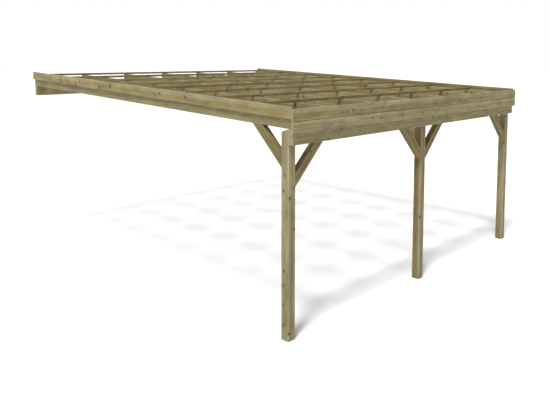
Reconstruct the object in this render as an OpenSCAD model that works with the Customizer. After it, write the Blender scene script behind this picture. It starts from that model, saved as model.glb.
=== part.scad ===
// Lean-to carport frame in planed, pressure-treated softwood.
// A row of three posts carries a row beam; rafters rise from it to a ledger on a house wall.
// Origin: centre of the ledger's back face. +X runs along the wall, +Y points into it, +Z is up.

/* [Overall] */
// Width of the frame along the wall, over the outer faces of the end posts
frame_width = 4900; // [3000:50:7000]
// Depth of the frame, from the wall to the outer faces of the posts
frame_depth = 5560; // [3000:20:7000]
// Clear height under the row beam
row_clearance = 1960; // [1800:10:2400]
// Pitch of the roof, rising towards the wall, in degrees
roof_pitch = 2.5; // [0.5:0.5:10]

/* [Posts] */
// Side of the square posts
post_size = 100; // [80:1:160]
// Radius of the eased edges of the posts
post_ease = 9; // [2:1:12]
// How far the top of a post stays below the top of the row beam, at its outer face
post_top_drop = 2; // [1:1:20]
// How much further the weathered top of a post falls towards its inner face
post_weathering = 30; // [5:1:45]

/* [Beams and rafters] */
// Thickness of the row beam, ledger, side beams and rafters
beam_t = 58; // [45:1:80]
// Height of the row beam, ledger, side beams and rafters
beam_h = 155; // [120:1:240]
// Radius of the eased edges of these timbers
beam_ease = 4; // [1:1:8]

/* [Battens] */
// Thickness of a batten, square to the roof
batten_t = 32; // [20:1:50]
// Width of a batten, along the roof
batten_w = 50; // [40:1:80]
// Gap between the first batten and the row fascia
batten_row_gap = 4; // [3:1:20]
// Gap between the last batten and the wall
batten_wall_gap = 30; // [1:1:80]
// Radius of the eased edges of the battens
batten_ease = 2; // [1:1:5]

/* [Fascia boards] */
// Thickness of the fascia boards
fascia_t = 28; // [18:1:40]
// Height of one fascia board
fascia_h = 120; // [90:1:180]
// Radius of the rounded edges of the fascia boards
fascia_ease = 9; // [2:1:9]
// How far the upper row fascia stands above the tops of the battens, at the rafter ends
row_fascia_rise = 13; // [0:1:40]
// Joint between the two row fascias
row_fascia_joint = 1; // [1:1:10]
// How far the side fascias stand above the tops of the battens
side_fascia_rise = 32; // [0:1:60]

/* [Braces] */
// Distance along post and side beam that an inward brace reaches, measured on its outer edge
brace_in_leg = 386; // [300:1:700]
// Distance along post and row beam that a row brace reaches, measured on its outer edge
brace_row_leg = 423; // [300:1:700]
// Width of a brace in its own plane
brace_w = 90; // [60:1:120]
// Thickness of a brace
brace_t = 74; // [40:1:80]
// Height over which a row brace laps behind the row beam
brace_lap = 100; // [40:1:120]

/* [Hidden] */
$fn = 32;

post_colour = "#9A9168";
beam_colour = "#8F8660";
batten_colour = "#A39A72";
board_colour = "#8A8060";

rafter_spaces = 6;
batten_spaces = 8;
slope = tan(roof_pitch);
plumb = 1 / cos(roof_pitch);
cut_margin = 20;

// Places along X and Y
x_left = -frame_width / 2;
x_right = frame_width / 2;
y_post = -frame_depth;
y_row = y_post - beam_t;
y_ledger = -beam_t;

// Heights, from the centre of the ledger down to the ground
ledger_top = beam_h / 2;
row_beam_top = ledger_top - slope * frame_depth;
row_beam_base = row_beam_top - beam_h;
ground = row_beam_base - row_clearance;

// Undersides of the sloping layers, on the line of the posts' outer faces
batten_base = row_beam_top + beam_h * plumb;
batten_top = batten_base + batten_t * plumb;
side_fascia_base = batten_top + (side_fascia_rise - fascia_h) * plumb;

// The two level boards over the rafter ends
row_fascia_top = batten_top - slope * beam_t + row_fascia_rise;
row_fascia_split = row_fascia_top - fascia_h - row_fascia_joint;

function roof_rise(y) = slope * (y - y_post);
function rafter_x(i) = x_left + i * (frame_width - beam_t) / rafter_spaces;
function batten_y(i) = let (y_first = y_row + batten_row_gap, y_last = -batten_wall_gap - batten_w)
    y_first + i * (y_last - y_first) / batten_spaces;

// Rectangle with eased corners, from the origin to (w, h)
module section(w, h, ease) {
    translate([ease, 0]) square([w - 2 * ease, h]);
    translate([0, ease]) square([w, h - 2 * ease]);
    for (x = [ease, w - ease], y = [ease, h - ease])
        translate([x, y]) circle(ease);
}

// Level timber along X: y and z are its outer lower edge
module bar_x(x0, x1, y, z, depth, height, ease)
    translate([x0, y, z]) rotate([90, 0, 90])
        linear_extrude(x1 - x0) section(depth, height, ease);

// Level timber along Y: x and z are its left lower edge
module bar_y(y0, y1, x, z, width, height, ease)
    translate([x, y1, z]) rotate([90, 0, 0])
        linear_extrude(y1 - y0) section(width, height, ease);

// Timber along the roof, with plumb-cut ends at y0 and y1; z is its underside at the posts' outer faces
module roof_bar(y0, y1, x, z, width, height, ease)
    intersection() {
        translate([0, y_post, z]) rotate([roof_pitch, 0, 0])
            bar_y(y0 - y_post - height, (y1 - y_post) * plumb + height, x, 0, width, height, ease);
        translate([x - cut_margin, y0, z - height])
            cube([width + 2 * cut_margin, y1 - y0, roof_rise(y1) + 3 * height]);
    }

// Post at x, with a weathered top that falls towards the wall
module post(x) color(post_colour)
    difference() {
        translate([x, y_post, ground])
            linear_extrude(row_beam_top - ground) section(post_size, post_size, post_ease);
        translate([x - cut_margin, y_post, row_beam_top - post_top_drop])
            rotate([-atan(post_weathering / post_size), 0, 0]) translate([0, -post_size, 0])
                cube([post_size + 2 * cut_margin, 3 * post_size, post_size]);
    }

module row_beam() color(beam_colour)
    bar_x(x_left, x_right, y_row, row_beam_base, beam_t, beam_h, beam_ease);

module ledger() color(beam_colour)
    bar_x(x_left, x_right, y_ledger, ledger_top - beam_h, beam_t, beam_h, beam_ease);

// Rafter or side beam at x, with level seats cut for the row beam and the ledger
module rafter(x) color(beam_colour)
    difference() {
        roof_bar(y_row, 0, x, row_beam_top, beam_t, beam_h, beam_ease);
        translate([x - cut_margin, y_row - cut_margin, row_beam_top - beam_h])
            cube([beam_t + 2 * cut_margin, beam_t + cut_margin, beam_h]);
        translate([x - cut_margin, y_ledger, ledger_top - beam_h])
            cube([beam_t + 2 * cut_margin, beam_t + cut_margin, beam_h]);
    }

// Batten with its row-side edge at y, lying on the rafters
module batten(y) color(batten_colour)
    translate([0, y_post, batten_base]) rotate([roof_pitch, 0, 0])
        bar_x(x_left, x_right, (y - y_post) * plumb, 0, batten_w, batten_t, batten_ease);

// Diagonal outline in a plane: it starts on a plumb face at u = 0 and ends on the line v = lap + tilt * u
function brace_outline(leg, lap, tilt) =
    let (inner_leg = leg - brace_w * sqrt(2),
         reach = (leg + lap) / (1 - tilt),
         inner_reach = (inner_leg + lap) / (1 - tilt))
    [[0, -leg], [reach, lap + tilt * reach],
     [inner_reach, lap + tilt * inner_reach], [0, -inner_leg]];

// Brace from a post to the side beam or rafter above it; x is its left face
module brace_in(x) color(post_colour)
    translate([x, y_post + post_size, row_beam_top + roof_rise(y_post + post_size)])
        rotate([90, 0, 90]) linear_extrude(brace_t) polygon(brace_outline(brace_in_leg, 0, slope));

// Brace from the side face of a post at x, lapped behind the row beam; side is 1 to the right, -1 to the left
module brace_row(x, side) color(post_colour)
    translate([x, y_post + brace_t, row_beam_base])
        rotate([90, 0, 0]) linear_extrude(brace_t)
            polygon([for (p = brace_outline(brace_row_leg, brace_lap, 0)) [side * p[0], p[1]]]);

// Sloping board on the outer face of a side beam; x is its left face
module side_fascia(x) color(board_colour)
    roof_bar(y_row, 0, x, side_fascia_base, fascia_t, fascia_h, fascia_ease);

// Level board over the rafter ends and the ends of the side fascias, with its top edge at z
module row_fascia(z) color(board_colour)
    bar_x(x_left - fascia_t, x_right + fascia_t, y_row - fascia_t, z - fascia_h, fascia_t, fascia_h, fascia_ease);

post(x_left);  // post_left
post(-post_size / 2);  // post_middle
post(x_right - post_size);  // post_right
row_beam();
ledger();
rafter(rafter_x(0));  // side_beam_left
rafter(rafter_x(rafter_spaces));  // side_beam_right
for (i = [1 : rafter_spaces - 1])
    rafter(rafter_x(i));
for (i = [0 : batten_spaces])
    batten(batten_y(i));
brace_in(x_left);  // brace_left_in
brace_in(-brace_t / 2);  // brace_middle_in
brace_in(x_right - brace_t);  // brace_right_in
brace_row(x_left + post_size, 1);  // brace_left_row
brace_row(-post_size / 2, -1);  // brace_middle_row_left
brace_row(post_size / 2, 1);  // brace_middle_row_right
brace_row(x_right - post_size, -1);  // brace_right_row
side_fascia(x_left - fascia_t);  // side_fascia_left
side_fascia(x_right);  // side_fascia_right
row_fascia(row_fascia_top);  // row_fascia_upper
row_fascia(row_fascia_split);  // row_fascia_lower
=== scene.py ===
# %% [markdown]
# # A lean-to carport frame
# The real thing is a frame of planed softwood timbers, pressure-treated with a green copper
# preservative. Three posts carry a row beam, seven rafters climb from it to a ledger on the house
# wall, and battens lie on top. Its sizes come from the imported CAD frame. This script makes the
# timbers look like sawn, eased and dried wood.

# %% Load the frame
import math

import bpy
import numpy as np
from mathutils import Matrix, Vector


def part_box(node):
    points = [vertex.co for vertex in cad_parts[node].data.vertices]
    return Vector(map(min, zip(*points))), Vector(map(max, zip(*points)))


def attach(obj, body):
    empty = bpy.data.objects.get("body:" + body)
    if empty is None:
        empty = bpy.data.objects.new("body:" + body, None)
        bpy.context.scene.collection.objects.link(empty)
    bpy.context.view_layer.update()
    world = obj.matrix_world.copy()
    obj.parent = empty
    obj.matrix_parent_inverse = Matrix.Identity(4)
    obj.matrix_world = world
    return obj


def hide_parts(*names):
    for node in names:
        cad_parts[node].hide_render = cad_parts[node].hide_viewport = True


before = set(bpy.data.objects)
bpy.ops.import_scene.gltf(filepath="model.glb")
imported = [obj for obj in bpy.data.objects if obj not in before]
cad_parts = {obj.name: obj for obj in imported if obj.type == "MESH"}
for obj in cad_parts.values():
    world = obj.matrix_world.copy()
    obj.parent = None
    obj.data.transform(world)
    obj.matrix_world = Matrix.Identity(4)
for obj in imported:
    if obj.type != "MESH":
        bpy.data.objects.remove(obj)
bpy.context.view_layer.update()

print("CAD nodes:", len(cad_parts))

# %% [markdown]
# ## Measures
# Every place below is read from the CAD nodes' boxes, so the timbers always fit each other.
# The roof's slope is the rise of the battens from the first to the last.

# %% Measures taken from the frame
MM = 0.001


def box(node):
    """Lowest and highest corner of a CAD node, as arrays in metres."""
    low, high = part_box(node)
    return np.array(low), np.array(high)


first_batten, last_batten = box("batten_1")[0], box("batten_9")[0]
slope = (last_batten[2] - first_batten[2]) / (last_batten[1] - first_batten[1])
pitch = math.atan(slope)
ground = box("post_left")[0][2]
row_beam_base = box("row_beam")[0][2]
print("roof pitch in degrees:", round(math.degrees(pitch), 2), "ground:", round(ground, 3))

# %% [markdown]
# ## Camera
# The frame is seen from outside its near corner, from a little above the roof.
# Uprights stay parallel when a level camera shifts its lens, but a large shift spoils other views,
# so the lens is shifted by only as much as needed and a slight tilt of the camera does the rest.

# %% Camera
camera_data = bpy.data.cameras.new("camera")
camera_data.sensor_width = 36.0
camera_data.lens = 39.471
camera_data.shift_y = -0.17
camera_data.clip_end = 500.0
camera = bpy.data.objects.new("camera", camera_data)
camera.location = (-6.6078, -9.483, 0.5056)
camera.rotation_euler = (math.radians(90 - 5.11), 0.0, math.radians(44.641 - 90))
bpy.context.scene.collection.objects.link(camera)
bpy.context.scene.camera = camera
print("camera height above ground:", round(camera.location.z - ground, 3))

# %% [markdown]
# ## One helper for shader nodes
# Colours are written as sRGB hex values, as a paint chart gives them, and turned to linear light
# once, here. A material is a chain of nodes, so one function adds a node with its inputs and
# returns the output that the next one needs.

# %% Colour and node helpers
def linear(hex_colour):
    """sRGB hex to linear RGBA: c / 12.92 below 0.04045, else ((c + 0.055) / 1.055) to the power 2.4."""
    srgb = np.array([int(hex_colour[i : i + 2], 16) for i in (1, 3, 5)]) / 255
    rgb = np.where(srgb <= 0.04045, srgb / 12.92, ((srgb + 0.055) / 1.055) ** 2.4)
    return (*rgb.tolist(), 1.0)


def add(tree, kind, *inputs, out=0, named=None, **settings):
    """Adds a node; inputs are values or sockets in order, and named gives them by name or number.

    None leaves an input as it is.
    """
    node = tree.nodes.new(kind)
    for name, value in settings.items():
        setattr(node, name, value)
    for key, value in [*enumerate(inputs), *(named or {}).items()]:
        if isinstance(value, bpy.types.NodeSocket):
            tree.links.new(value, node.inputs[key])
        elif value is not None:
            node.inputs[key].default_value = value
    return node.outputs[out]


def new_material(name):
    """An empty material's node tree and its output node."""
    material = bpy.data.materials.new(name)
    material.use_nodes = True
    material.node_tree.nodes.clear()
    return material, material.node_tree, material.node_tree.nodes.new("ShaderNodeOutputMaterial")


print("white in linear light:", linear("#FFFFFF"))

# %% [markdown]
# ## Sky, suns and floor
# One big lamp would do, but a lamp at a distance of metres grows weaker across the frame.
# A sun has no falloff, and its angle sets how soft a shadow is. Light that is wide along the row
# and narrow across it, as from a long softbox, shows the thin battens in the shadow as well as the
# deeper rafters, so three broad suns stand side by side. A white sky and a white floor fill the rest.

# %% Sky
# White at the horizon and dimmer above it, so that most light comes from the suns and the floor
world = bpy.data.worlds.new("white_horizon")
world.use_nodes = True
tree = world.node_tree
tree.nodes.clear()
height = add(tree, "ShaderNodeTexCoord", out="Generated")
height = add(tree, "ShaderNodeSeparateXYZ", height, out="Z")
strength = add(tree, "ShaderNodeMapRange", height, 0.2, 0.5, 1.0, 0.4)
background = add(tree, "ShaderNodeBackground", linear("#FFFFFF"), strength)
output = tree.nodes.new("ShaderNodeOutputWorld")
tree.links.new(background, output.inputs["Surface"])
bpy.context.scene.world = world
bpy.context.scene.view_settings.view_transform = "Standard"
print("sky:", world.name)

# %% Suns
# For each metre of height a shadow falls this far along +X and +Y, and the suns differ along X
SHADOW_RUN = (0.45, 0.18)
SUN_SPREAD = 0.08
SUN_POWER = 3.9
SUN_ANGLE = math.radians(11.0)
for place in (-1, 0, 1):
    sun_data = bpy.data.lights.new("sun", "SUN")
    sun_data.energy = SUN_POWER / 3
    sun_data.angle = SUN_ANGLE
    sun = bpy.data.objects.new("sun", sun_data)
    sun.rotation_mode = "QUATERNION"
    direction = Vector((SHADOW_RUN[0] + place * SUN_SPREAD, SHADOW_RUN[1], -1.0))
    sun.rotation_quaternion = direction.to_track_quat("-Z", "Y")
    bpy.context.scene.collection.objects.link(sun)
print("sun elevation:", round(math.degrees(math.atan(1 / math.hypot(*SHADOW_RUN))), 1))

# %% Floor
# Matt white paint has no gloss at all, so the floor shows soft shadows and no reflection
FLOOR_REACH = 150.0
floor_corners = np.array([(-1, -1), (1, -1), (1, 1), (-1, 1)]) * FLOOR_REACH
floor_mesh = bpy.data.meshes.new("floor")
floor_mesh.from_pydata([(x, y, ground) for x, y in floor_corners.tolist()], [], [(0, 1, 2, 3)])
floor = bpy.data.objects.new("floor", floor_mesh)
bpy.context.scene.collection.objects.link(floor)
floor_paint, tree, output = new_material("matt_white_paint")
shader = add(tree, "ShaderNodeBsdfDiffuse", linear("#E2E2E2"))
tree.links.new(shader, output.inputs["Surface"])
floor_mesh.materials.append(floor_paint)
print("floor is this many metres wide:", 2 * FLOOR_REACH)

# %% [markdown]
# ## The finish: planed pine, pressure-treated
# A pine stem is a stack of growth rings round a pith. Sawing it into timbers cuts straight lines,
# cathedral arches or arcs out of those rings, depending on where the pith lies in the section.
# A flat wood pattern on each face would break at every edge, so the wood is a solid pattern:
# its distance from the pith gives rings, the inner stem is brown heartwood, and the outer sapwood
# has taken up the green preservative. Knots swell the rings round them.
# Each timber carries its own grain space as an attribute, with x and y measured from its pith and
# z along it, so no two timbers look the same.

# %% Treated pine
# Planed pine, treated and dried outdoors: matt, about 0.75 rough, with no gloss along the faces.
# The eye gets an olive brown that drifts in bands along each timber, thin darker rings, dark pin
# knots with a warm halo, and paler edges and sawn ends, partly weathering and partly painted
# highlight. Rings are drawn a little wide, at 4.5 mm, and fibres,
# which are really 0.05 mm wide, at 1 to 4 mm, so that they show.
RING_WIDTH = 4.5 * MM
KNOT_RADIUS = 13 * MM
KNOTS_PER_RADIAN = 0.95
KNOTS_PER_METRE = 4.8
KNOT_SQUASH = 0.8
HEARTWOOD_RADII = (43 * MM, 69 * MM)


def treated_pine(name, sapwood, heartwood, knots=0.3, edge_paling_and_highlight=0.25):
    """Colour = sapwood or heartwood, by distance from the pith, times rings, bands, patches and fibres.

    Stains, pale rounded edges, knots and pale sawn ends are then mixed over it; the pale edges and
    ends are partly weathering and partly painted highlight. knots is the share of places that carry
    a knot, and the last argument is how far the rounded edges are mixed towards pale grey.
    """
    material, tree, output = new_material(name)
    grain = add(tree, "ShaderNodeAttribute", out="Vector", attribute_name="grain")
    tone = add(tree, "ShaderNodeAttribute", out="Fac", attribute_name="tone")
    end = add(tree, "ShaderNodeAttribute", out="Fac", attribute_name="end_grain")

    # The stem wanders: its rings shift sideways by up to 12 mm over about a metre
    bend = add(tree, "ShaderNodeVectorMath", grain, (5.0, 5.0, 1.1), operation="MULTIPLY")
    bend = add(tree, "ShaderNodeTexNoise", bend, out="Color", named={"Scale": 1.0, "Detail": 2.0})
    bend = add(tree, "ShaderNodeVectorMath", bend, (0.5, 0.5, 0.5), operation="SUBTRACT")
    bent = add(tree, "ShaderNodeVectorMath", bend, (0.05, 0.05, 0.0), grain, operation="MULTIPLY_ADD")
    flat = add(tree, "ShaderNodeVectorMath", bent, (1.0, 1.0, 0.0), operation="MULTIPLY")
    radius = add(tree, "ShaderNodeVectorMath", flat, out="Value", operation="LENGTH")

    # Knots are branches, so they run out from the pith: at most one in each sixth of a turn and
    # 210 mm of length
    split = tree.nodes.new("ShaderNodeSeparateXYZ")
    tree.links.new(bent, split.inputs[0])
    turn = add(tree, "ShaderNodeMath", split.outputs["Y"], split.outputs["X"], operation="ARCTAN2")
    polar = add(tree, "ShaderNodeCombineXYZ", turn, split.outputs["Z"])
    density = (KNOTS_PER_RADIAN, KNOTS_PER_METRE, 0.0)
    cells = add(tree, "ShaderNodeVectorMath", polar, density, operation="MULTIPLY")
    voronoi = tree.nodes.new("ShaderNodeTexVoronoi")
    voronoi.voronoi_dimensions = "2D"
    voronoi.inputs["Scale"].default_value = 1.0
    tree.links.new(cells, voronoi.inputs["Vector"])
    offset = add(tree, "ShaderNodeVectorMath", cells, voronoi.outputs["Position"], operation="SUBTRACT")
    around = add(tree, "ShaderNodeMath", radius, 1 / KNOTS_PER_RADIAN, operation="MULTIPLY")
    metres = add(tree, "ShaderNodeCombineXYZ", around, KNOT_SQUASH / KNOTS_PER_METRE)
    offset = add(tree, "ShaderNodeVectorMath", offset, metres, operation="MULTIPLY")
    distance = add(tree, "ShaderNodeVectorMath", offset, out="Value", operation="LENGTH")
    chance = add(tree, "ShaderNodeSeparateColor", voronoi.outputs["Color"], out="Red")
    size = add(tree, "ShaderNodeMapRange", chance, 1.0 - knots, 1.0, 0.0, 1.0)
    size = add(tree, "ShaderNodeMath", size, 0.5, operation="POWER")
    size = add(tree, "ShaderNodeMath", size, KNOT_RADIUS, 0.00001, operation="MULTIPLY_ADD")
    core = add(tree, "ShaderNodeMath", size, 0.55, operation="MULTIPLY")
    knot = add(tree, "ShaderNodeMapRange", distance, core, size, 1.0, 0.0,
               interpolation_type="SMOOTHSTEP")
    halo_edge = add(tree, "ShaderNodeMath", size, 3.0, operation="MULTIPLY")
    halo = add(tree, "ShaderNodeMapRange", distance, 0.0, halo_edge, 1.0, 0.0,
               interpolation_type="SMOOTHSTEP")

    # Growth rings: distance from the pith, swollen round knots, divided by the ring width
    swell = add(tree, "ShaderNodeMath", halo, 0.012, radius, operation="MULTIPLY_ADD")
    ring = add(tree, "ShaderNodeMath", swell, 1 / RING_WIDTH, operation="MULTIPLY")
    ring = add(tree, "ShaderNodeMath", ring, operation="FRACT")
    late = add(tree, "ShaderNodeMapRange", ring, 0.45, 0.95, 0.0, 1.0,
               interpolation_type="SMOOTHSTEP")

    # Fibres of 1 to 4 mm, bands of 20 to 40 mm that took up more or less preservative, and stains
    fine = add(tree, "ShaderNodeVectorMath", grain, (420.0, 420.0, 9.0), operation="MULTIPLY")
    fibre = add(tree, "ShaderNodeTexNoise", fine, out="Fac", named={"Scale": 1.0, "Detail": 3.0})
    broad = add(tree, "ShaderNodeVectorMath", bent, (34.0, 34.0, 1.1), operation="MULTIPLY")
    band = add(tree, "ShaderNodeTexNoise", broad, out="Fac", named={"Scale": 1.0, "Detail": 3.0})
    patch = add(tree, "ShaderNodeVectorMath", bent, (9.0, 9.0, 4.0), operation="MULTIPLY")
    patch = add(tree, "ShaderNodeTexNoise", patch, out="Color", named={"Scale": 1.0, "Detail": 2.0})
    patches = tree.nodes.new("ShaderNodeSeparateColor")
    tree.links.new(patch, patches.inputs[0])
    patch, stain = patches.outputs["Red"], patches.outputs["Green"]

    # Heartwood inside about 60 mm of the pith, with a ragged edge
    rounding = add(tree, "ShaderNodeAttribute", out="Fac", attribute_name="rounded_edge")
    heart_edge = add(tree, "ShaderNodeMath", band, 0.03, radius, operation="MULTIPLY_ADD")
    heart_edge = add(tree, "ShaderNodeMath", tone, -0.03, heart_edge, operation="MULTIPLY_ADD")
    heart = add(tree, "ShaderNodeMapRange", heart_edge, *HEARTWOOD_RADII, 1.0, 0.0,
                interpolation_type="SMOOTHSTEP")
    colour = add(tree, "ShaderNodeMix", None, out=2, data_type="RGBA",
                 named={0: heart, 6: linear(sapwood), 7: linear(heartwood)})
    stained = add(tree, "ShaderNodeMapRange", stain, 0.52, 0.70, 0.0, 0.5)
    colour = add(tree, "ShaderNodeMix", None, out=2, data_type="RGBA",
                 named={0: stained, 6: colour, 7: linear("#705834")})

    # Light and dark: rings, bands, patches and fibres each scale the colour a little
    shade = add(tree, "ShaderNodeMapRange", late, 0.0, 1.0, 1.06, 0.82)
    for pattern, low, high in (
        (band, 0.80, 1.24), (patch, 0.80, 1.22), (fibre, 0.86, 1.14), (tone, 1.08, 0.92)
    ):
        span = (0.0, 1.0) if pattern is tone else (0.25, 0.75)
        scale = add(tree, "ShaderNodeMapRange", pattern, *span, low, high)
        shade = add(tree, "ShaderNodeMath", shade, scale, operation="MULTIPLY")
    colour = add(tree, "ShaderNodeVectorMath", colour, out="Vector", operation="SCALE",
                 named={"Scale": shade})

    # Rounded edges are mixed towards pale grey: partly weathering by rain and sun, partly a painted
    # highlight on the arris
    pale_edge_and_highlight = add(tree, "ShaderNodeMapRange", band, 0.3, 0.7, 0.3 * edge_paling_and_highlight, edge_paling_and_highlight)
    pale_edge_and_highlight = add(tree, "ShaderNodeMath", pale_edge_and_highlight, rounding, operation="MULTIPLY")
    colour = add(tree, "ShaderNodeMix", None, out=2, data_type="RGBA",
                 named={0: pale_edge_and_highlight, 6: colour, 7: linear("#A59F8B")})

    # Knots are dark brown with a soft brown halo; sawn ends are paler and greyer than the faces, partly
    # as fresh end grain and partly as a painted highlight
    colour = add(tree, "ShaderNodeMix", None, out=2, data_type="RGBA", blend_type="MULTIPLY",
                 named={0: halo, 6: colour, 7: linear("#CDB07C")})
    colour = add(tree, "ShaderNodeMix", None, out=2, data_type="RGBA",
                 named={0: knot, 6: colour, 7: linear("#33240F")})
    end_paling_and_light = add(tree, "ShaderNodeMath", end, 0.5, operation="MULTIPLY")
    colour = add(tree, "ShaderNodeMix", None, out=2, data_type="RGBA",
                 named={0: end_paling_and_light, 6: colour, 7: linear("#98907A")})

    # Relief of a planed, weathered face: latewood stands 0.2 mm proud, fibres 0.1 mm
    relief = add(tree, "ShaderNodeMath", fibre, 0.6, late, operation="MULTIPLY_ADD")
    relief = add(tree, "ShaderNodeMath", knot, -0.8, relief, operation="MULTIPLY_ADD")
    bump = add(tree, "ShaderNodeBump", named={"Strength": 0.6, "Distance": 0.0004, "Height": relief})
    rough = add(tree, "ShaderNodeMapRange", fibre, 0.25, 0.75, 0.68, 0.84)
    shader = add(tree, "ShaderNodeBsdfPrincipled",
                 named={"Base Color": colour, "Roughness": rough, "Normal": bump})
    tree.links.new(shader, output.inputs["Surface"])
    return material


finishes = {
    "post": treated_pine("treated_pine_post", "#7F7657", "#6E5E2C", knots=0.4, edge_paling_and_highlight=0.5),
    "beam": treated_pine("treated_pine_beam", "#7A714C", "#716237", knots=0.28),
    "batten": treated_pine("treated_pine_batten", "#776D48", "#6E6035", knots=0.2),
    "brace": treated_pine("treated_pine_brace", "#78704D", "#6E6036", knots=0.3),
    "board": treated_pine("treated_pine_board", "#827A58", "#7A6D41", knots=0.28, edge_paling_and_highlight=0.08),
}
print("finishes:", sorted(finishes))

# %% [markdown]
# ## A timber
# A planed timber could be a cube with a Bevel modifier, but splits and plumb cuts would then need
# cutting tools. It is one section carried along a straight line, so that is how it is computed:
# a ring of points round the eased section, repeated at stations along its length.
# Its two ends are planes, so plumb cuts, bevels and mitres only change where each point of the
# ring starts and stops. As it dries, a timber splits from its faces towards its pith. Three points
# of the ring make each split: two lips that part and a bottom that sinks between them.

# %% Section of a timber
ARC_STEPS = 5


def section_ring(width, depth, ease, splits):
    """A rounded rectangle as a closed ring: a corner's points are its centre + ease * (cos a, sin a).

    It returns each point with its inward normal, tangent, split number, role and edge.
    Face 0 is at full width, face 1 at full depth, face 2 at zero width and face 3 at zero depth.
    A split at place p on face k adds two lips (role -1 and 1) and a bottom (role 0) to that face.
    Edge is 1 on the rounding of the corners and 0 on the faces.
    """
    corners = np.array([(width, depth), (0, depth), (0, 0), (width, 0)], float)
    centres = corners + ease * np.array([(-1, -1), (1, -1), (1, 1), (-1, 1)])
    outward = np.array([(1, 0), (0, 1), (-1, 0), (0, -1)], float)
    along = np.array([(0, 1), (-1, 0), (0, -1), (1, 0)], float)
    points, normals, tangents, numbers, roles, edges = [], [], [], [], [], []
    for face in range(4):
        start = corners[face - 1] + along[face] * ease
        span = abs(along[face] @ (corners[face] - corners[face - 1])) - 2 * ease
        for number in [n for n, split in enumerate(splits) if split[0] == face]:
            middle = start + along[face] * span * splits[number][1]
            points.append(np.repeat([middle], 3, axis=0))
            normals.append(np.repeat([-outward[face]], 3, axis=0))
            tangents.append(np.repeat([along[face]], 3, axis=0))
            numbers.append(np.full(3, number))
            roles.append(np.array([-1, 0, 1]))
            edges.append(np.zeros(3))
        angles = np.radians(90 * face + np.linspace(0, 90, ARC_STEPS))
        arc = np.column_stack([np.cos(angles), np.sin(angles)])
        points.append(centres[face] + ease * arc)
        normals.append(-arc)
        tangents.append(np.zeros((ARC_STEPS, 2)))
        numbers.append(np.full(ARC_STEPS, -1))
        roles.append(np.zeros(ARC_STEPS, int))
        edges.append(np.array([0.0, 1.0, 1.0, 1.0, 0.0]))
    return [np.concatenate(parts) for parts in (points, normals, tangents, numbers, roles, edges)]


print("points round an unsplit section:", len(section_ring(100 * MM, 100 * MM, 9 * MM, [])[0]))

# %% Splits of a timber
NARROWEST_SPLIT_FACE = 50 * MM


def dry_splits(rng, width, depth, length, share):
    """Random splits, each 0.35 to 1.1 m long, 1.6 to 3.4 mm open and four times as deep as open.

    Each is its face, its place across the face, opening, depth, and start and end as shares of
    the length. share is the chance that a face has one.
    """
    splits = []
    for face, span in enumerate((depth, width, depth, width)):
        if span < NARROWEST_SPLIT_FACE or rng.random() > share:
            continue
        run = rng.uniform(0.35, 1.1) / length
        begin = rng.uniform(-0.3 * run, 1 - 0.7 * run)
        place = rng.uniform(0.32, 0.68)
        opening = rng.uniform(1.6, 3.4) * MM
        splits.append((face, place, opening, 4 * opening, begin, begin + run))
    return splits


trial = dry_splits(np.random.default_rng(0), 100 * MM, 100 * MM, 2.0, 1.0)
print("splits of a trial post, opening in mm:", [round(split[2] / MM, 1) for split in trial])

# %% Timber surface
ARRIS = 1.5 * MM
STATION_STEP = 70 * MM
SPLIT_DRIFT = 2.5 * MM
SHARPEST_SMOOTH_EDGE = math.radians(32)


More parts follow.
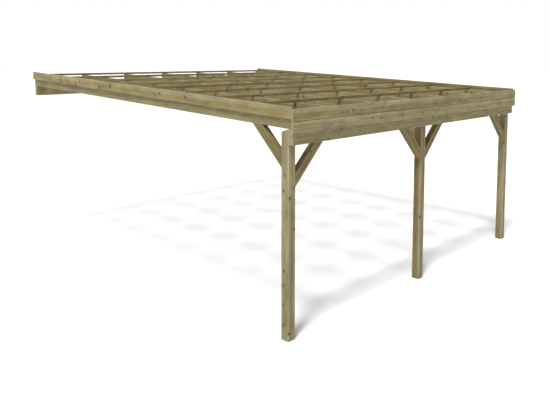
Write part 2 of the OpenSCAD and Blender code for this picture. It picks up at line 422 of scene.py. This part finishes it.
def timber(
    node, slot, origin, across, along, width, depth, ease, cuts,
    split_share=0.0, seed=0, tone=None, seat=None,
):
    """Point = origin + u * across + v * (along x across) + s * along, with s between the end cuts.

    cuts(u, v) returns the first and last s of the timber at that place in its section.
    tone from 0 to 1 goes from pale, mostly sapwood, to darker, mostly heartwood, and seat is a
    height at which the underside is cut level.
    """
    rng = np.random.default_rng(seed)
    across, along = np.array(across, float), np.array(along, float)
    up = np.cross(along, across)
    first, last = cuts(np.array([0.0, width]), np.array([0.0, depth]))
    length = float(np.max(last) - np.min(first))
    splits = dry_splits(rng, width, depth, length, split_share)
    points, normals, tangents, numbers, roles, edges = section_ring(width, depth, ease, splits)

    # Stations: share of the length, extra offset, and how far the ring is drawn in for the eased
    # arris at each end
    count = max(4, round(length / STATION_STEP))
    share = np.concatenate([[0.0], np.linspace(0, 1, count), [1.0]])
    shift = np.zeros_like(share)
    shift[1], shift[-2] = ARRIS, -ARRIS
    inset = np.zeros_like(share)
    inset[0] = inset[-1] = ARRIS

    # A split opens along the timber as a half sine, never quite closed so that no face collapses
    ring = points[None] + inset[:, None, None] * normals[None]
    if splits:
        table = np.array(splits)[np.maximum(numbers, 0)]
        phase = np.clip((share[:, None] - table[:, 4]) / (table[:, 5] - table[:, 4]), 0, 1)
        opened = np.maximum(np.sin(np.pi * phase) ** 0.7, 0.06) * (numbers >= 0)
        wave = np.sin(share[:, None] * length * 3.1 + 2.0 * numbers)
        drift = SPLIT_DRIFT * wave * (numbers >= 0)
        sideways = roles * table[:, 2] / 2 * opened + drift
        inwards = (roles == 0) * table[:, 3] * opened
        ring = ring + sideways[..., None] * tangents + inwards[..., None] * normals
    u, v = ring[..., 0], ring[..., 1]
    start, stop = cuts(u, v)
    s = start + share[:, None] * (stop - start) + shift[:, None]
    place = np.array(origin) + u[..., None] * across + v[..., None] * up + s[..., None] * along
    if seat is not None:
        place[..., 2] = np.maximum(place[..., 2], seat)

    # Faces: quads between neighbouring stations, then a fan from the middle of each end
    stations, around = u.shape
    grid = np.arange(stations * around).reshape(stations, around)
    turn = np.roll(grid, -1, axis=1)
    quads = np.stack([grid[:-1], turn[:-1], turn[1:], grid[1:]], axis=-1).reshape(-1, 4)
    centres = np.stack([place[0].mean(0), place[-1].mean(0)])
    near, far = stations * around, stations * around + 1
    fan_near = np.column_stack([np.full(around, near), turn[0], grid[0]])
    fan_far = np.column_stack([np.full(around, far), grid[-1], turn[-1]])
    vertices = np.concatenate([place.reshape(-1, 3), centres])
    mesh = bpy.data.meshes.new(node + "_timber")
    mesh.from_pydata(vertices.tolist(), [], quads.tolist() + fan_near.tolist() + fan_far.tolist())

    # Grain space: the pith lies near the middle of a square timber and outside a thin board
    pith = (width * rng.uniform(0.3, 0.7), depth * rng.uniform(0.3, 0.7))
    if max(width, depth) > 1.5 * min(width, depth):
        away = rng.uniform(0.02, 0.06) * rng.choice([-1, 1])
        pith = (pith[0] + away * (width < depth), pith[1] + away * (depth < width))
    middle = np.array([[width / 2, depth / 2, float(np.mean(ends))] for ends in (s[0], s[-1])])
    local = np.concatenate([np.stack([u, v, s], axis=-1).reshape(-1, 3), middle])
    local = local - np.array([*pith, 0.0]) + np.array([0.0, 0.0, rng.uniform(0, 60)])
    mesh.attributes.new("grain", "FLOAT_VECTOR", "POINT").data.foreach_set("vector", local.ravel())
    tones = np.full(len(vertices), rng.random() if tone is None else tone)
    mesh.attributes.new("tone", "FLOAT", "POINT").data.foreach_set("value", tones)
    # Rounded edges are marked for the finish, which paints them paler, partly as painted highlight
    rounding = np.concatenate([np.tile(edges, stations), np.zeros(2)])
    mesh.attributes.new("rounded_edge", "FLOAT", "POINT").data.foreach_set("value", rounding)
    is_end = np.concatenate([np.zeros(len(quads)), np.ones(2 * around)])
    mesh.attributes.new("end_grain", "FLOAT", "FACE").data.foreach_set("value", is_end)
    mesh.shade_smooth()
    mesh.set_sharp_from_angle(angle=SHARPEST_SMOOTH_EDGE)
    mesh.materials.append(finishes[slot])

    piece = bpy.data.objects.new(node + "_timber", mesh)
    bpy.context.scene.collection.objects.link(piece)
    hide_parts(node)
    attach(piece, "root")
    return piece


print("stations every", round(STATION_STEP / MM), "mm")

# %% [markdown]
# ## Posts
# The three posts are 100 mm square with well eased edges. Their tops fall towards the wall side,
# to shed water. On site that is one saw cut, and here it is one end cut whose height depends on v.

# %% Posts
POST_EASE = 9 * MM
POST_TOP_FALL = 30 * MM


def post(node, seed, tone):
    """A square section carried straight up: s ends at the height less the fall times v's share."""
    low, high = box(node)
    width, depth, height = high - low

    def cuts(u, v):
        return np.zeros_like(v), height - POST_TOP_FALL * v / depth

    return timber(
        node, "post", low, (1, 0, 0), (0, 0, 1), width, depth, POST_EASE, cuts, 0.75, seed, tone)


for node, seed, tone in (("post_left", 11, 0.3), ("post_middle", 12, 0.95), ("post_right", 13, 0.85)):
    made = post(node, seed, tone)
    print(node, "faces:", len(made.data.polygons))

# %% [markdown]
# ## Level beams and boards
# The row beam, the ledger and the two row fascias run along X and end square. All four could be
# one array, but each is its own node with its own sizes, so one function reads them from its box.

# %% Level timbers
BEAM_EASE = 4 * MM
BOARD_EASE = 9 * MM


def level_timber(node, slot, ease, split_share, seed, tone=None):
    """A section carried level along X: u runs along Y, v runs up, and s goes from 0 to the length."""
    low, high = box(node)
    length, width, depth = high - low

    def cuts(u, v):
        return np.zeros_like(u), np.full_like(u, length)

    return timber(
        node, slot, low, (0, 1, 0), (1, 0, 0), width, depth, ease, cuts, split_share, seed, tone)


level_timber("row_beam", "beam", BEAM_EASE, 0.6, 21, tone=0.1)
level_timber("ledger", "beam", BEAM_EASE, 0.5, 22, tone=0.2)
level_timber("row_fascia_upper", "board", BOARD_EASE, 0.0, 23, tone=0.75)
made = level_timber("row_fascia_lower", "board", BOARD_EASE, 0.0, 24, tone=0.6)
print("lower row fascia faces:", len(made.data.polygons))

# %% [markdown]
# ## Timbers that climb with the roof
# Rafters, side beams and side fascias follow the slope, and both of their ends are cut plumb.
# Turning a level timber would tilt its ends as well, so the section is carried up the slope and
# its end cuts lean back by the pitch. A beam's underside is cut level where it sits on the row beam.

# %% Sloping timbers
post_face = box("post_left")[0][1]
climb = np.array([0.0, math.cos(pitch), math.sin(pitch)])
square_to_roof = np.array([0.0, -math.sin(pitch), math.cos(pitch)])


def sloping_timber(node, slot, ease, split_share, seed, tone):
    """A section carried up the slope: u runs square to the roof and v along X.

    A plumb cut at level distance y from the posts' face lies at s = (y + u * sin(pitch)) / cos(pitch).
    Beams are also cut level at their base, where they sit on the row beam.
    """
    low, high = box(node)
    base = low[2] if slot == "beam" else low[2] + slope * (post_face - low[1])
    height = (high[2] - base - slope * (high[1] - post_face)) * math.cos(pitch)

    def cuts(u, v):
        lean = u * math.sin(pitch)
        ends = (low[1] - post_face, high[1] - post_face)
        return [(end + lean) / math.cos(pitch) for end in ends]

    origin, seat = (low[0], post_face, base), (base if slot == "beam" else None)
    depth = high[0] - low[0]
    return timber(
        node, slot, origin, square_to_roof, climb, height, depth, ease, cuts,
        split_share, seed, tone, seat)


rafters = ["side_beam_left", *[f"rafter_{i}" for i in range(1, 6)], "side_beam_right"]
rafter_tones = (0.3, 0.95, 0.9, 0.8, 0.9, 0.85, 0.3)
for number, (node, tone) in enumerate(zip(rafters, rafter_tones)):
    sloping_timber(node, "beam", BEAM_EASE, 0.5, 31 + number, tone)
sloping_timber("side_fascia_left", "board", BOARD_EASE, 0.0, 41, 0.15)
# The darkest tone, 1.0, is painted shade: it darkens this fascia's inner face, which the suns light
# fully
made = sloping_timber("side_fascia_right", "board", BOARD_EASE, 0.0, 42, 1.0)
print("sloping timbers:", len(rafters) + 2, "faces of a side fascia:", len(made.data.polygons))

# %% [markdown]
# ## Battens
# Nine battens lie across the rafters, square to the roof, ready to take roof sheets. An Array
# modifier could repeat one of them, but then all would show the same grain, so each is computed.

# %% Battens
BATTEN_EASE = 2 * MM
screws = []


def batten(node, seed):
    """A section carried along X, turned by the pitch so that u climbs the roof and v is square to it.

    Its box gives its sizes: run = width * cos + thickness * sin and
    rise = width * sin + thickness * cos, and these two are solved for width and thickness.
    """
    low, high = box(node)
    run, rise = (high - low)[1:]
    double = math.cos(2 * pitch)
    width = (run * math.cos(pitch) - rise * math.sin(pitch)) / double
    thickness = (rise * math.cos(pitch) - run * math.sin(pitch)) / double
    origin = np.array([low[0], low[1] + thickness * math.sin(pitch), low[2]])

    def cuts(u, v):
        return np.zeros_like(u), np.full_like(u, high[0] - low[0])

    # One screw into each rafter, a few millimetres to either side of the batten's middle line and
    # of the rafter's
    rng = np.random.default_rng(seed + 100)
    for rafter in rafters:
        across = width / 2 + rng.uniform(-6, 6) * MM
        point = origin + across * climb + thickness * square_to_roof
        point[0] = np.mean(box(rafter), axis=0)[0] + rng.uniform(-5, 5) * MM
        screws.append((point, square_to_roof))
    return timber(
        node, "batten", origin, climb, (1, 0, 0), width, thickness, BATTEN_EASE, cuts, 0.0, seed)


for number in range(1, 10):
    made = batten(f"batten_{number}", 50 + number)
print("batten faces:", len(made.data.polygons), "screws so far:", len(screws))

# %% [markdown]
# ## Braces
# Seven braces stand at 45 degrees between the posts and the beams over them. Each is cut plumb
# against its post. The inward ones are cut to the slope of the beam they carry, and those along
# the row lap behind the row beam. Their outline could be drawn and extruded, but then the eased
# edges and the grain would need more steps, so they are timbers with slanted end cuts.
# Two screws hold each end, driven through the brace's lower edge or, behind the row beam, through
# its back.

# %% Braces
BRACE_WIDTH = 90 * MM
BRACE_EASE = 5 * MM
SCREW_FROM_END = 55 * MM
SCREW_SHARES = (0.28, 0.72)
diagonal = math.sqrt(0.5)


def brace(node, outwards, tilt, seed, tone):
    """A section carried up at 45 degrees, in the direction of outwards + up.

    outwards is the level direction away from the post, and u runs from the inner edge of the
    brace to its outer edge. The plumb cut at the post lies at s = -u, and the cut on the line
    z = tilt * level distance lies at s = ((lap + inner leg) / sin 45 + u * (1 + tilt)) / (1 - tilt).
    """
    low, high = box(node)
    outwards = np.array(outwards, float)
    along, across = (outwards + (0, 0, 1)) * diagonal, (outwards - (0, 0, 1)) * diagonal
    up = np.cross(along, across)
    reach = abs(outwards @ (high - low))
    lap = max(0.0, high[2] - row_beam_base) if tilt == 0 else 0.0
    inner_leg = reach * (1 - tilt) - lap - BRACE_WIDTH / diagonal
    corner = np.where(outwards + up >= 0, low, high)
    origin = np.array([corner[0], corner[1], high[2] - lap - tilt * reach - inner_leg])

    def cuts(u, v):
        return -u, ((lap + inner_leg) / diagonal + u * (1 + tilt)) / (1 - tilt)

    thickness = abs(up @ (high - low))
    low_end, high_end = cuts(BRACE_WIDTH, 0)
    for share in SCREW_SHARES:
        outer = origin + BRACE_WIDTH * across + share * thickness * up
        screws.append((outer + (low_end + SCREW_FROM_END) * along, across))
        if lap:
            place = origin + share * BRACE_WIDTH * across
            place = place + (high[2] - lap / 2 - place[2]) / diagonal * along
            screws.append((np.array([place[0], high[1], place[2]]), np.array([0.0, 1.0, 0.0])))
        else:
            screws.append((outer + (high_end - SCREW_FROM_END) * along, across))
    return timber(
        node, "brace", origin, across, along, BRACE_WIDTH, thickness, BRACE_EASE, cuts,
        0.25, seed, tone)


for number, side in enumerate(("left", "middle", "right")):
    brace(f"brace_{side}_in", (0, 1, 0), slope, 71 + number, 0.75)
brace("brace_left_row", (1, 0, 0), 0, 74, 0.3)
brace("brace_middle_row_left", (-1, 0, 0), 0, 75, 0.6)
brace("brace_middle_row_right", (1, 0, 0), 0, 76, 0.5)
brace("brace_right_row", (-1, 0, 0), 0, 77, 0.7)
print("screws with the braces:", len(screws))

# %% [markdown]
# ## Screw heads
# Timber screws with countersunk 9 mm heads and a six-lobed recess hold the battens and the braces.
# A head is a surface of revolution, so it could be spun, but it is only a few millimetres across.
# It is one profile turned in 12 steps, and every other step of the recess is drawn in, which makes
# its lobes. All heads are computed at once from their places and directions.

# %% Screw finish
def dull_zinc():
    """Zinc plating that has lost its shine outdoors: half-matt grey metal with darker blotches."""
    material, tree, output = new_material("dull_zinc_plating")
    place = add(tree, "ShaderNodeTexCoord", out="Object")
    blotch = add(tree, "ShaderNodeTexNoise", place, out="Fac", named={"Scale": 400.0, "Detail": 2.0})
    cloud = add(tree, "ShaderNodeMapRange", blotch, 0.35, 0.65, 0.0, 1.0)
    colour = add(tree, "ShaderNodeMix", None, out=2, data_type="RGBA",
                 named={0: cloud, 6: linear("#6F6A60"), 7: linear("#8F8C84")})
    rough = add(tree, "ShaderNodeMapRange", blotch, 0.35, 0.65, 0.62, 0.42)
    shader = add(tree, "ShaderNodeBsdfPrincipled",
                 named={"Base Color": colour, "Metallic": 1.0, "Roughness": rough})
    tree.links.new(shader, output.inputs["Surface"])
    return material


zinc = dull_zinc()
print("screw finish:", zinc.name)

# %% Screws
# Radius and height of each ring, from the buried underside over the rim to the recess
SCREW_RINGS = np.array(
    [(2.0, -3.0), (4.5, -0.4), (4.5, 0.1), (4.1, 0.3), (2.2, 0.3), (1.9, -1.2)]) * MM
SCREW_STEPS = 12
LOBE_SHARE = 0.72


def screw_heads(places, seed):
    """All heads as one mesh: point = place + r * (cos a * side + sin a * other) + h * normal."""
    rng = np.random.default_rng(seed)
    points, normals = np.array([p for p, _ in places]), np.array([n for _, n in places])
    side = np.cross(normals, (0.31, 0.87, -0.38))
    side /= np.linalg.norm(side, axis=1, keepdims=True)
    other = np.cross(normals, side)
    angle = np.arange(SCREW_STEPS) * 2 * np.pi / SCREW_STEPS + rng.uniform(0, 1, (len(points), 1))
    turn = np.cos(angle)[..., None] * side[:, None] + np.sin(angle)[..., None] * other[:, None]
    lobes = np.ones((len(SCREW_RINGS), SCREW_STEPS))
    lobes[-2:, ::2] = LOBE_SHARE
    radii = SCREW_RINGS[:, :1] * lobes
    rises = (SCREW_RINGS[:, 1, None] * normals[:, None])[:, :, None]
    rings = radii[None, ..., None] * turn[:, None] + rises
    rings = rings + points[:, None, None]
    ends = points[:, None] + SCREW_RINGS[[0, -1], 1][None, :, None] * normals[:, None]
    vertices = np.concatenate([rings.reshape(len(points), -1, 3), ends], axis=1)
    count = vertices.shape[1]
    grid = np.arange(count - 2).reshape(len(SCREW_RINGS), SCREW_STEPS)
    turned = np.roll(grid, -1, axis=1)
    quads = np.stack([grid[:-1], turned[:-1], turned[1:], grid[1:]], axis=-1).reshape(-1, 4)
    under = np.column_stack([np.full(SCREW_STEPS, count - 2), turned[0], grid[0]])
    floor_fan = np.column_stack([np.full(SCREW_STEPS, count - 1), grid[-1], turned[-1]])
    starts = np.arange(len(points))[:, None, None] * count
    parts = (quads, under, floor_fan)
    faces = [face for part in parts for face in (part + starts).reshape(-1, part.shape[1]).tolist()]
    mesh = bpy.data.meshes.new("screw_heads")
    mesh.from_pydata(vertices.reshape(-1, 3).tolist(), [], faces)
    mesh.shade_smooth()
    mesh.set_sharp_from_angle(angle=math.radians(30))
    mesh.materials.append(zinc)
    piece = bpy.data.objects.new("screw_heads", mesh)
    bpy.context.scene.collection.objects.link(piece)
    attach(piece, "root")
    return piece


made = screw_heads(screws, 90)
print("screws:", len(screws), "faces:", len(made.data.polygons))
